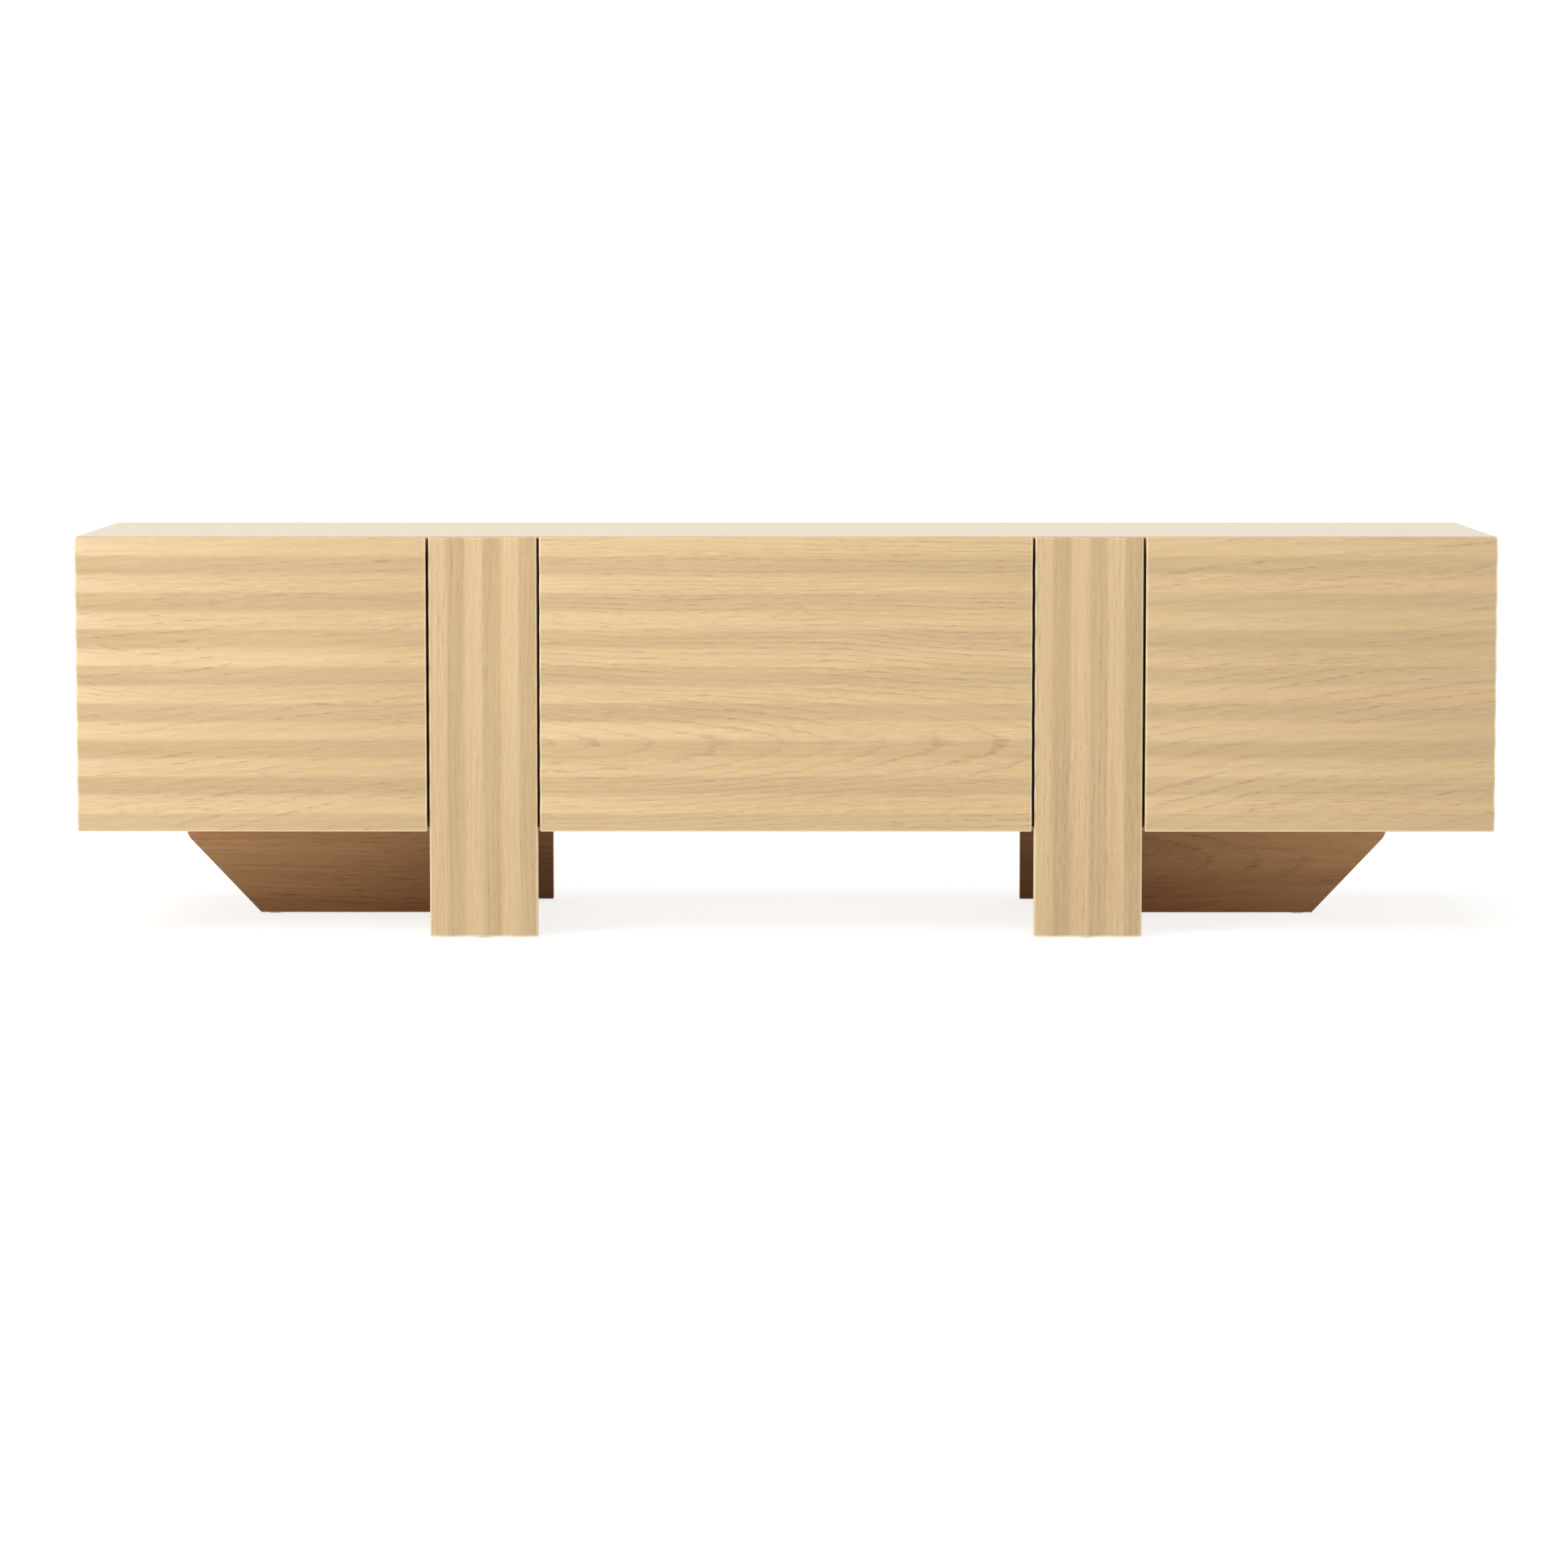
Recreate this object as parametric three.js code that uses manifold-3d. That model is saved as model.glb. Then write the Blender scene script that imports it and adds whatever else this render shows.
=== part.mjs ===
// Low oak media cabinet. A box of boards holds three compartments. Two side doors and a centre drop flap,
// fluted all over and without handles, close it in front and open at a push. Two fluted posts run down
// its front to the floor and carry it together with a spine, a wing and a rear leg behind each of them.
//
// Millimetres. X runs to the right, Y to the back and Z up. The origin is on the floor, under the centre.

import * as THREE from "three";
import { mergeVertices } from "three/addons/utils/BufferGeometryUtils.js";
import Module from "manifold-3d";

// Driving dimensions of the whole cabinet
const WIDTH = 1800;
const DEPTH = 450;
const HEIGHT = 510;
const FRONT_HEIGHT = 374; // the doors and the flap are as tall as the whole box
const FRONT_THICKNESS = 22; // measured at a crest
const FRONT_GAP = 3; // between two fronts, and between the fronts and the carcass
const BOARD = 19; // top, bottom, sides and shelves
const DIVIDER = 18;
const DIVIDER_INSET = 1; // from a post's edge to the divider behind it
const BACK_BOARD = 8;
const BACK_INSET = 4; // how far the back boards lie inside the rear edges
const SHELF_SETBACK = 30; // from the carcass's front edges
const TOUCH = 0.3; // left between pieces that touch
const CUT_SPARE = 1; // by which a cutter runs past the face that it opens

// Fluting
const WAVE_DEPTH = 6;
const WAVE_SHARPNESS = 0.97; // 1 is a plain zigzag, 0 is a sine
const WAVE_STEPS = 10;
const FRONT_WAVES = 8;
const POST_WAVES = 3;

// Base
const POST_INNER = 315.5; // from the centre plane to a post's inner edge
const POST_WIDTH = 137;
const SPINE = 22;
const SPINE_CLEARANCE = 10; // between a spine and the floor
const WING = 22;
const WING_SETBACK = 274; // from the crests of the fronts to a wing's front face
const WING_REACH = 792; // from the centre plane to a wing's outer edge
const WING_FOOT = 694.5; // from the centre plane to the outer end of a wing's lower edge
const WING_SHOULDER = 103; // height of the wing's shoulder above its lower edge, before rounding
const WING_FILLET = 24;
const FILLET_STEPS = 8;
const REAR_LEG = 19;
const GLIDE_HEIGHT = 2;
const GLIDE_RADIUS = 8;
const WING_GLIDE_INSET = 18; // from the outer end of a wing's lower edge to its glide

// Concealed hinges, in a frame of their own: U runs from the front's hinged edge along its face,
// V from the crests to the back and W along the hinge's axis
const PIN_U = 9.5;
const PIN_V = 14;
const PIN_RADIUS = 1.2;
const PIN_LENGTH = 13;
const BORE_RADIUS = 1.29;
const KNUCKLE_RADIUS = 2.2;
const ARM_WIDTH = 9;
const ARM_THICKNESS = 2.5;
const ARM_LIFT = 1.8; // of its neck over the board that carries it
const ARM_HEIGHT = 8; // of its body over that board
const ARM_NECK_V = [30, 31]; // where the neck ends, on the side away from the board and next to it
const ARM_BODY_V = [36, 34]; // where the body starts, on the same two sides
const ARM_END_V = 78;
const PLATE_V = [40, 72];
const PLATE_THICKNESS = 2.5;
const PLATE_LENGTH = 44;
const CUP_U = 22;
const CUP_RADIUS = 17.2;
const CUP_WALL = 1;
const CUP_BOTTOM_V = 11;
const CUP_FLOOR = 0.6;
const POCKET_RADIUS = 17.5;
const RIM_RADIUS = 17.5;
const RIM_THICKNESS = 0.8;
const EAR_U = [16, 28];
const EAR_LENGTH = 52;
const EDGE_CHAMFER = 3.6; // at the back of a hinged edge, so that it swings clear of the carcass
const DOOR_HINGE_INSET = 62; // from a door's lower and upper edges to its hinges
const FLAP_HINGE_X = 220;

// Push latches, fixed under the top
const LATCH_SIZE = 16;
const LATCH_LENGTH = 62;
const LATCH_SETBACK = 2; // behind the carcass's front edge
const LATCH_FROM_EDGE = 36; // from a side door's free edge
const FLAP_LATCH_X = 250;
const PLUNGER_RADIUS = 4.2;
const PLUNGER_LENGTH = 52;
const PLUNGER_BORE_RADIUS = 4.6;
const PLUNGER_SPARE = 3; // bore left behind the plunger

// Cable outlets in the back boards
const CABLE_HOLE_RADIUS = 30;
const GROMMET_INNER_RADIUS = 25;
const GROMMET_FLANGE_RADIUS = 34;
const GROMMET_FLANGE = 2;
const CABLE_HOLE_ABOVE_BOTTOM = 70;

const ROUND_SEGMENTS = 24;
const OUTLET_SEGMENTS = 12; // for each half of a back board's round hole
const MERGE_DISTANCE = 1e-4;

// Places that follow from them
const FRONT_Y = -DEPTH / 2;
const BACK_Y = DEPTH / 2;
const FRONT_BACK_Y = FRONT_Y + FRONT_THICKNESS;
const CARCASS_Y = FRONT_BACK_Y + FRONT_GAP;
const BOX_BOTTOM = HEIGHT - FRONT_HEIGHT;
const FLOOR_BOARD_TOP = BOX_BOTTOM + BOARD;
const TOP_UNDERSIDE = HEIGHT - BOARD;
const SIDE_INNER = WIDTH / 2 - BOARD;
const POST_OUTER = POST_INNER + POST_WIDTH;
const POST_CENTRE = POST_INNER + POST_WIDTH / 2;
const DOOR_INNER = POST_OUTER + FRONT_GAP;
const FLAP_OUTER = POST_INNER - FRONT_GAP;
const OUTER_DIVIDER = POST_OUTER - DIVIDER_INSET - DIVIDER;
const INNER_DIVIDER = POST_INNER + DIVIDER_INSET;
const BACK_BOARD_Y = [BACK_Y - BACK_INSET - BACK_BOARD, BACK_Y - BACK_INSET];
const INSIDE_Z = [FLOOR_BOARD_TOP + TOUCH, TOP_UNDERSIDE - TOUCH];
const SIDES = [
  { name: "left", sign: -1 },
  { name: "right", sign: 1 },
];

const wasm = await Module();
wasm.setup();

function material(colour, roughness, metalness) {
  return () => new THREE.MeshStandardMaterial({ color: colour, roughness, metalness });
}

const FINISH = {
  oak: material("#dfbf94", 0.55, 0),
  baseOak: material("#7a5136", 0.6, 0),
  nickel: material("#c8c8c6", 0.35, 1),
  greyPlastic: material("#d9d8d4", 0.5, 0),
  blackPlastic: material("#242424", 0.6, 0),
  whitePlastic: material("#e6e5e1", 0.5, 0),
};

// Closed solids and booleans

function toSolid(geometry) {
  const bare = geometry.clone();
  bare.deleteAttribute("normal");
  bare.deleteAttribute("uv");
  const merged = mergeVertices(bare, MERGE_DISTANCE);
  const triVerts = new Uint32Array(merged.index.array);
  const vertProperties = merged.attributes.position.array;
  return new wasm.Manifold(new wasm.Mesh({ numProp: 3, vertProperties, triVerts }));
}

function toGeometry(solid) {
  const { vertProperties, triVerts } = solid.getMesh();
  const geometry = new THREE.BufferGeometry();
  geometry.setAttribute("position", new THREE.BufferAttribute(vertProperties, 3));
  geometry.setIndex(new THREE.BufferAttribute(triVerts, 1));
  geometry.computeVertexNormals();
  return geometry;
}

function joined(...geometries) {
  const [first, ...others] = geometries.map(toSolid);
  return toGeometry(others.reduce((whole, part) => whole.add(part), first));
}

function cut(geometry, ...cutters) {
  const solid = toSolid(geometry);
  return toGeometry(cutters.map(toSolid).reduce((whole, cutter) => whole.subtract(cutter), solid));
}

// Plain shapes. A span is a pair of low and high coordinates.

function centred(middle, length) {
  return [middle - length / 2, middle + length / 2];
}

function sideSpan(sign, near, far) {
  return sign < 0 ? [-far, -near] : [near, far];
}

function block(x, y, z) {
  const geometry = new THREE.BoxGeometry(x[1] - x[0], y[1] - y[0], z[1] - z[0]);
  return geometry.translate((x[0] + x[1]) / 2, (y[0] + y[1]) / 2, (z[0] + z[1]) / 2);
}

function shapeOf(points) {
  return new THREE.Shape(points.map(([a, b]) => new THREE.Vector2(a, b)));
}

function prism(shape, length) {
  return new THREE.ExtrudeGeometry(shape, { depth: length, bevelEnabled: false, curveSegments: OUTLET_SEGMENTS });
}

// From a shape in the YZ plane
function prismAlongX(shape, x) {
  const upright = prism(shape, x[1] - x[0]).rotateX(Math.PI / 2).rotateZ(Math.PI / 2);
  return upright.translate(x[0], 0, 0);
}

// From a shape in the XZ plane
function prismAlongY(shape, y) {
  return prism(shape, y[1] - y[0]).rotateX(Math.PI / 2).translate(0, y[1], 0);
}

// From a shape in the XY plane
function prismAlongZ(shape, z) {
  return prism(shape, z[1] - z[0]).translate(0, 0, z[0]);
}

function rodAlongY(radius, x, y, z) {
  const rod = new THREE.CylinderGeometry(radius, radius, y[1] - y[0], ROUND_SEGMENTS);
  return rod.translate(x, (y[0] + y[1]) / 2, z);
}

function rodAlongZ(radius, x, y, z) {
  const rod = new THREE.CylinderGeometry(radius, radius, z[1] - z[0], ROUND_SEGMENTS);
  return rod.rotateX(Math.PI / 2).translate(x, y, (z[0] + z[1]) / 2);
}

// Fluting

// How far a fluted face lies behind its crests. It starts and ends in a valley.
function waveRecess(along, pitch) {
  const swing = Math.asin(WAVE_SHARPNESS * Math.cos((2 * Math.PI * along) / pitch));
  return (WAVE_DEPTH / 2) * (1 + swing / Math.asin(WAVE_SHARPNESS));
}

// Points [along, depth] of a fluted face, with the depth measured from the crests
function flutedLine(length, waves) {
  const steps = waves * WAVE_STEPS;
  const pitch = length / waves;
  return Array.from({ length: steps + 1 }, (_, i) => {
    const along = (length * i) / steps;
    return [along, waveRecess(along, pitch)];
  });
}

const root = new THREE.Group();

function add(parent, name, geometry, finish) {
  const mesh = new THREE.Mesh(geometry, finish());
  mesh.name = name;
  parent.add(mesh);
}

// The box

function addCarcass() {
  const whole = [CARCASS_Y, BACK_Y];
  const inside = [CARCASS_Y, BACK_BOARD_Y[0] - TOUCH];
  const sideHeight = [BOX_BOTTOM, TOP_UNDERSIDE - TOUCH];
  const between = SIDE_INNER - TOUCH;
  add(root, "top_panel", block(centred(0, WIDTH), whole, [TOP_UNDERSIDE, HEIGHT]), FINISH.oak);
  add(root, "bottom_panel", block([-between, between], whole, [BOX_BOTTOM, FLOOR_BOARD_TOP]), FINISH.oak);
  for (const { name, sign } of SIDES) {
    const side = sideSpan(sign, SIDE_INNER, WIDTH / 2);
    const outer = sideSpan(sign, OUTER_DIVIDER, OUTER_DIVIDER + DIVIDER);
    const inner = sideSpan(sign, INNER_DIVIDER, INNER_DIVIDER + DIVIDER);
    add(root, `side_panel_${name}`, block(side, whole, sideHeight), FINISH.oak);
    add(root, `outer_divider_${name}`, block(outer, whole, INSIDE_Z), FINISH.oak);
    add(root, `inner_divider_${name}`, block(inner, inside, INSIDE_Z), FINISH.oak);
  }
}

// A back board with a round cable outlet at its middle, and the grommet in it
function addBack(name, x) {
  const middle = (x[0] + x[1]) / 2;
  const outletZ = FLOOR_BOARD_TOP + CABLE_HOLE_ABOVE_BOTTOM;
  const [low, high] = INSIDE_Z;
  const outline = shapeOf([[x[0], low], [x[1], low], [x[1], high], [x[0], high]]);
  const outlet = new THREE.Path();
  outlet.absarc(middle, outletZ, CABLE_HOLE_RADIUS, 0, 2 * Math.PI);
  outline.holes.push(outlet);
  add(root, `back_panel_${name}`, prismAlongY(outline, BACK_BOARD_Y), FINISH.oak);

  const flangeStart = BACK_BOARD + TOUCH;
  const sleeveRadius = CABLE_HOLE_RADIUS - 2 * TOUCH;
  const profile = [
    [GROMMET_INNER_RADIUS, 0],
    [sleeveRadius, 0],
    [sleeveRadius, flangeStart],
    [GROMMET_FLANGE_RADIUS, flangeStart],
    [GROMMET_FLANGE_RADIUS, flangeStart + GROMMET_FLANGE],
    [GROMMET_INNER_RADIUS, flangeStart + GROMMET_FLANGE],
    [GROMMET_INNER_RADIUS, 0],
  ];
  const ring = new THREE.LatheGeometry(profile.map(([r, y]) => new THREE.Vector2(r, y)), ROUND_SEGMENTS);
  ring.translate(middle, BACK_BOARD_Y[0], outletZ);
  add(root, `cable_grommet_${name}`, ring, FINISH.blackPlastic);
}

function addBacks() {
  const centre = OUTER_DIVIDER - TOUCH;
  addBack("centre", [-centre, centre]);
  for (const { name, sign } of SIDES) {
    addBack(name, sideSpan(sign, OUTER_DIVIDER + DIVIDER + TOUCH, SIDE_INNER - TOUCH));
  }
}

function addShelves() {
  const y = [CARCASS_Y + SHELF_SETBACK, BACK_BOARD_Y[0] - TOUCH];
  const z = centred((FLOOR_BOARD_TOP + TOP_UNDERSIDE) / 2, BOARD);
  const centre = INNER_DIVIDER - TOUCH;
  add(root, "shelf_centre", block([-centre, centre], y, z), FINISH.oak);
  for (const { name, sign } of SIDES) {
    const x = sideSpan(sign, OUTER_DIVIDER + DIVIDER + TOUCH, SIDE_INNER - TOUCH);
    add(root, `shelf_${name}`, block(x, y, z), FINISH.oak);
  }
}

// The base

// A board whose front is fluted from side to side, from the floor to the top
function addPost(name, sign) {
  const x = sideSpan(sign, POST_INNER, POST_OUTER);
  const back = CARCASS_Y - TOUCH;
  const front = flutedLine(POST_WIDTH, POST_WAVES).map(([along, depth]) => [x[0] + along, FRONT_Y + depth]);
  const outline = shapeOf([...front, [x[1], back], [x[0], back]]);
  add(root, `post_${name}`, prismAlongZ(outline, [GLIDE_HEIGHT, HEIGHT]), FINISH.oak);
}

// An upright board parallel to the front, cut off slantwise below its outer end
function addWing(name, sign) {
  const bottom = GLIDE_HEIGHT;
  const top = BOX_BOTTOM - TOUCH;
  const inner = POST_CENTRE + SPINE / 2 + TOUCH;
  const shoulder = new THREE.Vector2(WING_REACH, bottom + WING_SHOULDER);
  const up = new THREE.Vector2(0, 1);
  const slant = new THREE.Vector2(WING_FOOT, bottom).sub(shoulder).normalize();
  const tangent = WING_FILLET / Math.tan(slant.angleTo(up) / 2);
  const filletStart = shoulder.clone().addScaledVector(slant, tangent);
  const filletEnd = shoulder.clone().addScaledVector(up, tangent);
  const fillet = new THREE.QuadraticBezierCurve(filletStart, shoulder, filletEnd).getPoints(FILLET_STEPS);
  const corners = [
    [inner, top],
    [inner, bottom],
    [WING_FOOT, bottom],
    ...fillet.map((point) => [point.x, point.y]),
    [WING_REACH, top],
  ];
  const outline = shapeOf(corners.map(([x, z]) => [sign * x, z]));
  const front = FRONT_Y + WING_SETBACK;
  add(root, `wing_${name}`, prismAlongY(outline, [front, front + WING]), FINISH.baseOak);
}

function addBase() {
  const spineY = [CARCASS_Y, BACK_Y - REAR_LEG - TOUCH];
  const top = BOX_BOTTOM - TOUCH;
  for (const { name, sign } of SIDES) {
    addPost(name, sign);
    addWing(name, sign);
    const spineX = centred(sign * POST_CENTRE, SPINE);
    const legX = sideSpan(sign, POST_INNER, POST_OUTER);
    const legY = [BACK_Y - REAR_LEG, BACK_Y];
    add(root, `spine_${name}`, block(spineX, spineY, [SPINE_CLEARANCE, top]), FINISH.baseOak);
    add(root, `rear_leg_${name}`, block(legX, legY, [GLIDE_HEIGHT, top]), FINISH.baseOak);
  }
}

function addGlides() {
  const valleyY = FRONT_Y + WAVE_DEPTH;
  const places = [
    { name: "post", x: POST_CENTRE, y: (valleyY + CARCASS_Y) / 2 },
    { name: "wing", x: WING_FOOT - WING_GLIDE_INSET, y: FRONT_Y + WING_SETBACK + WING / 2 },
    { name: "rear", x: POST_CENTRE, y: BACK_Y - REAR_LEG / 2 },
  ];
  for (const { name, sign } of SIDES) {
    for (const place of places) {
      const glide = rodAlongZ(GLIDE_RADIUS, sign * place.x, place.y, [0, GLIDE_HEIGHT - TOUCH]);
      add(root, `glide_${place.name}_${name}`, glide, FINISH.whitePlastic);
    }
  }
}

// Concealed hinges

const CUP_MOUTH_V = FRONT_THICKNESS + TOUCH + RIM_THICKNESS;

function hingeCup() {
  const rimStart = FRONT_THICKNESS + TOUCH;
  const inner = CUP_RADIUS - CUP_WALL;
  const profile = [
    [0, CUP_BOTTOM_V],
    [CUP_RADIUS, CUP_BOTTOM_V],
    [CUP_RADIUS, rimStart],
    [RIM_RADIUS, rimStart],
    [RIM_RADIUS, CUP_MOUTH_V],
    [inner, CUP_MOUTH_V],
    [inner, CUP_BOTTOM_V + CUP_FLOOR],
    [0, CUP_BOTTOM_V + CUP_FLOOR],
  ];
  const cup = new THREE.LatheGeometry(profile.map(([r, v]) => new THREE.Vector2(r, v)), 2 * ROUND_SEGMENTS);
  cup.translate(CUP_U, 0, 0);
  const ears = block(EAR_U, [rimStart, CUP_MOUTH_V], centred(0, EAR_LENGTH));
  const mouth = rodAlongY(inner, CUP_U, [rimStart - CUT_SPARE, CUP_MOUTH_V + CUT_SPARE], 0);
  return joined(cup, cut(ears, mouth));
}

// The arm reaches past the carcass's edge into the cup and turns back to the pin
function hingeArm() {
  const near = PIN_V - ARM_THICKNESS / 2;
  const far = PIN_V + ARM_THICKNESS / 2;
  const foot = BOARD + TOUCH;
  const neckU = BOARD + ARM_LIFT;
  const outline = shapeOf([
    [PIN_U, near],
    [neckU + ARM_THICKNESS, near],
    [neckU + ARM_THICKNESS, ARM_NECK_V[0]],
    [BOARD + ARM_HEIGHT, ARM_BODY_V[0]],
    [BOARD + ARM_HEIGHT, ARM_END_V],
    [foot, ARM_END_V],
    [foot, ARM_BODY_V[1]],
    [neckU, ARM_NECK_V[1]],
    [neckU, far],
    [PIN_U, far],
  ]);
  const across = centred(0, ARM_WIDTH);
  const arm = prismAlongZ(outline, across);
  const knuckle = rodAlongZ(KNUCKLE_RADIUS, PIN_U, PIN_V, across);
  const plate = block([foot, foot + PLATE_THICKNESS], PLATE_V, centred(0, PLATE_LENGTH));
  const bore = rodAlongZ(BORE_RADIUS, PIN_U, PIN_V, centred(0, 2 * ARM_WIDTH));
  return cut(joined(arm, knuckle, plate), bore);
}

function hingePin() {
  return rodAlongZ(PIN_RADIUS, PIN_U, PIN_V, centred(0, PIN_LENGTH));
}

function hingePocket() {
  return rodAlongY(POCKET_RADIUS, CUP_U, [CUP_BOTTOM_V - TOUCH, FRONT_THICKNESS + CUT_SPARE], 0);
}

// A group turned so that its X, Y and Z are the hinge's U, V and W
function hingeFrame(x, z, turn) {
  const frame = new THREE.Group();
  frame.position.set(x, FRONT_Y, z);
  frame.rotation.y = turn;
  frame.updateMatrixWorld(true);
  root.add(frame);
  return frame;
}

function addHinge(name, frame) {
  add(frame, `hinge_cup_${name}`, hingeCup(), FINISH.nickel);
  add(frame, `hinge_arm_${name}`, hingeArm(), FINISH.nickel);
  add(frame, `hinge_pin_${name}`, hingePin(), FINISH.nickel);
}

// The fronts

// A front's section in the YZ plane, fluted from its lower edge to its upper edge, with its last points
// along its lower back edge
function frontSection(...lowerBack) {
  const line = flutedLine(FRONT_HEIGHT, FRONT_WAVES);
  const face = line.map(([along, depth]) => [FRONT_Y + depth, BOX_BOTTOM + along]);
  return shapeOf([...face, [FRONT_BACK_Y, HEIGHT], ...lowerBack]);
}

function addDoor(name, sign) {
  const edge = (sign * WIDTH) / 2;
  const heights = { lower: BOX_BOTTOM + DOOR_HINGE_INSET, upper: HEIGHT - DOOR_HINGE_INSET };
  const turn = sign < 0 ? 0 : Math.PI;
  const frames = Object.entries(heights).map(([place, z]) => ({ place, frame: hingeFrame(edge, z, turn) }));
  const pockets = frames.map(({ frame }) => hingePocket().applyMatrix4(frame.matrixWorld));
  const chamfer = shapeOf([
    [edge + sign * CUT_SPARE, FRONT_BACK_Y - EDGE_CHAMFER - CUT_SPARE],
    [edge + sign * CUT_SPARE, FRONT_BACK_Y + CUT_SPARE],
    [edge - sign * (EDGE_CHAMFER + CUT_SPARE), FRONT_BACK_Y + CUT_SPARE],
  ]);
  const chamferCut = prismAlongZ(chamfer, [BOX_BOTTOM - CUT_SPARE, HEIGHT + CUT_SPARE]);
  const section = frontSection([FRONT_BACK_Y, BOX_BOTTOM]);
  const board = prismAlongX(section, sideSpan(sign, DOOR_INNER, WIDTH / 2));
  add(root, `door_${name}`, cut(board, chamferCut, ...pockets), FINISH.oak);
  for (const { place, frame } of frames) addHinge(`${name}_${place}`, frame);
}

function addFlap() {
  const frames = SIDES.map(({ name, sign }) => {
    return { name, frame: hingeFrame(sign * FLAP_HINGE_X, BOX_BOTTOM, -Math.PI / 2) };
  });
  const pockets = frames.map(({ frame }) => hingePocket().applyMatrix4(frame.matrixWorld));
  const chamferStart = [FRONT_BACK_Y, BOX_BOTTOM + EDGE_CHAMFER];
  const chamferEnd = [FRONT_BACK_Y - EDGE_CHAMFER, BOX_BOTTOM];
  const section = frontSection(chamferStart, chamferEnd);
  const board = prismAlongX(section, [-FLAP_OUTER, FLAP_OUTER]);
  add(root, "flap_centre", cut(board, ...pockets), FINISH.oak);
  for (const { name, frame } of frames) addHinge(`flap_${name}`, frame);
}

// Push latches

// A housing under the top and the plunger that pushes the front open
function addLatch(name, x) {
  const front = CARCASS_Y + LATCH_SETBACK;
  const z = TOP_UNDERSIDE - TOUCH - LATCH_SIZE / 2;
  const tip = FRONT_BACK_Y + TOUCH;
  const plungerY = [tip, tip + PLUNGER_LENGTH];
  const bore = rodAlongY(PLUNGER_BORE_RADIUS, x, [front - CUT_SPARE, plungerY[1] + PLUNGER_SPARE], z);
  const body = block(centred(x, LATCH_SIZE), [front, front + LATCH_LENGTH], centred(z, LATCH_SIZE));
  add(root, `latch_housing_${name}`, cut(body, bore), FINISH.greyPlastic);
  add(root, `latch_plunger_${name}`, rodAlongY(PLUNGER_RADIUS, x, plungerY, z), FINISH.greyPlastic);
}

function addLatches() {
  for (const { name, sign } of SIDES) {
    addLatch(`door_${name}`, sign * (DOOR_INNER + LATCH_FROM_EDGE));
    addLatch(`flap_${name}`, sign * FLAP_LATCH_X);
  }
}

addCarcass();
addBacks();
addShelves();
addBase();
addGlides();
for (const { name, sign } of SIDES) addDoor(name, sign);
addFlap();
addLatches();

export default root;
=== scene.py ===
"""Oak media cabinet: the looks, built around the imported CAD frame. Metres, in the frame's own axes."""

import math
from collections import namedtuple

import bmesh
import bpy
from mathutils import Matrix, Vector


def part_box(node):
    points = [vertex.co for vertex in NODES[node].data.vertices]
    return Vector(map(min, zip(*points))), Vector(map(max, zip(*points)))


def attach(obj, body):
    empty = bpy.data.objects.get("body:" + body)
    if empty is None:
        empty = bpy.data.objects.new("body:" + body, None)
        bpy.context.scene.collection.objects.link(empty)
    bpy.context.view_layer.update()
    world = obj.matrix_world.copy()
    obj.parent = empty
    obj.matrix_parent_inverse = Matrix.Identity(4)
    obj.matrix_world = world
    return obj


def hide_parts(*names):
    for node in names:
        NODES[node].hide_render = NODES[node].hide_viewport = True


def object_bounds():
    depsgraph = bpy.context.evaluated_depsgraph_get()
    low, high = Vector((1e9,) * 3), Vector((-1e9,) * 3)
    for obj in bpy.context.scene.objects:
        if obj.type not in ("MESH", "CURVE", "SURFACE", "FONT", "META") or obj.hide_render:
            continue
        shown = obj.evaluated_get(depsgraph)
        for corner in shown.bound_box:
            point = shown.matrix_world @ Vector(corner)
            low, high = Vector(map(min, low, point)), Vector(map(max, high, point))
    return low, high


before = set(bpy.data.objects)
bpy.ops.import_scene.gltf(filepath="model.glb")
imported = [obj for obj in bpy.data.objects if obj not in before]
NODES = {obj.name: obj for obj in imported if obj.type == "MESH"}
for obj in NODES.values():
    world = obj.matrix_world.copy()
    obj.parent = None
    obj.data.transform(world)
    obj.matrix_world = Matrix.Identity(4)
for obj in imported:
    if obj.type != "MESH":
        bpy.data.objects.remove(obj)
CAD_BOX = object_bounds()
MM = 0.001
SIDES = {"left": -1, "right": 1}
X, Y, Z = Vector((1, 0, 0)), Vector((0, 1, 0)), Vector((0, 0, 1))

# Fluting
WAVE_DEPTH = 6 * MM
FRONT_WAVES = 8
POST_WAVES = 3
END_PLAY = 0.4 * MM  # how much a front is shorter at each end than its place
CREST_SHARPNESS = 0.998  # 1 is a plain zigzag, 0 is a sine
VALLEY_SHARPNESS = 0.992
WAVE_STEPS = 28

# Rounded edges
FRONT_EDGE = 1.0 * MM
POST_TOP_EDGE = 2.5 * MM
BOARD_EDGE = 0.5 * MM
BASE_EDGE = 0.8 * MM
METAL_EDGE = 0.25 * MM

# Hardware
POCKET_RADIUS = 17.5 * MM
POCKET_CLEARANCE = 0.3 * MM
CUTTER_LENGTH = 20 * MM  # more than a front is thick
CUP_EAR_SCREW = 21.5 * MM  # from a cup's centre to the screw in each ear
PLATE_THICKNESS = 2.8 * MM  # with the gap under it
PLATE_SCREW = 16 * MM  # from an arm's middle to the screw in each end of its plate
PLATE_CENTRE = 44 * MM  # from an arm's front end to the middle of its plate
ARM_SCREWS = (-10 * MM, 12 * MM)  # from the middle of the plate
SCREW_RADIUS = 3.6 * MM
SCREW_HEIGHT = 1.1 * MM
SCREW_ROUND = 0.5 * MM
SCREW_SUNK = 0.4 * MM
SMALL_SCREW_RADIUS = 3.0 * MM
SLOT_SIZE = (1.15 * SCREW_RADIUS, 0.22 * SCREW_RADIUS, 1.2 * MM)
SLOT_HEIGHT = 0.75 * MM  # of a slot's middle
SLOT_TURN = 0.4  # radians
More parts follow.
